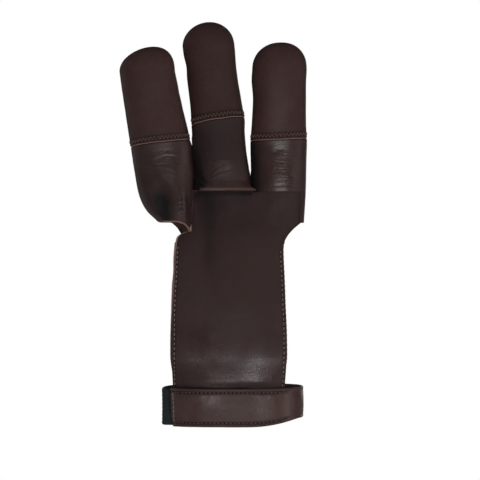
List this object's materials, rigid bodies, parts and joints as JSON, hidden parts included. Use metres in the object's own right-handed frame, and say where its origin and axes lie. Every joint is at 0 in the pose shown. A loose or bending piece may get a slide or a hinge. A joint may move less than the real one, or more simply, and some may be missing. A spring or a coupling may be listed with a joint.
{
  "type": "archery glove",
  "caption": "Right-hand leather archery glove: closed fingertip caps on sewn finger sleeves, a lined palm panel and a band that closes round the wrist.",
  "frame": {"origin": "the middle of the wrist loop, at half the band's height, where the hand enters", "axes": "+Z from the wrist to the fingertips, +X towards the thumb side, -Y out of the palm"},
  "size_m": [0.0969, 0.0516, 0.2083],
  "materials": {
    "cap_leather": "thick matte leather",
    "sleeve_leather": "thin glossy creased leather",
    "palm_leather": "smooth satin leather",
    "lining_leather": "raw matte leather",
    "band_leather": "satin leather",
    "strap_webbing": "black woven elastic",
    "fastening_tape": "black hook and loop tape"
  },
  "bodies": {
    "root": {"ring_sleeve": "sleeve_leather", "middle_sleeve": "sleeve_leather", "index_sleeve": "sleeve_leather", "ring_cap": "cap_leather", "middle_cap": "cap_leather", "index_cap": "cap_leather", "palm_panel": "palm_leather", "palm_lining": "lining_leather", "wrist_band": "band_leather", "closure_strap": "strap_webbing", "fastening_tape": "fastening_tape"}
  },
  "joints": []
}
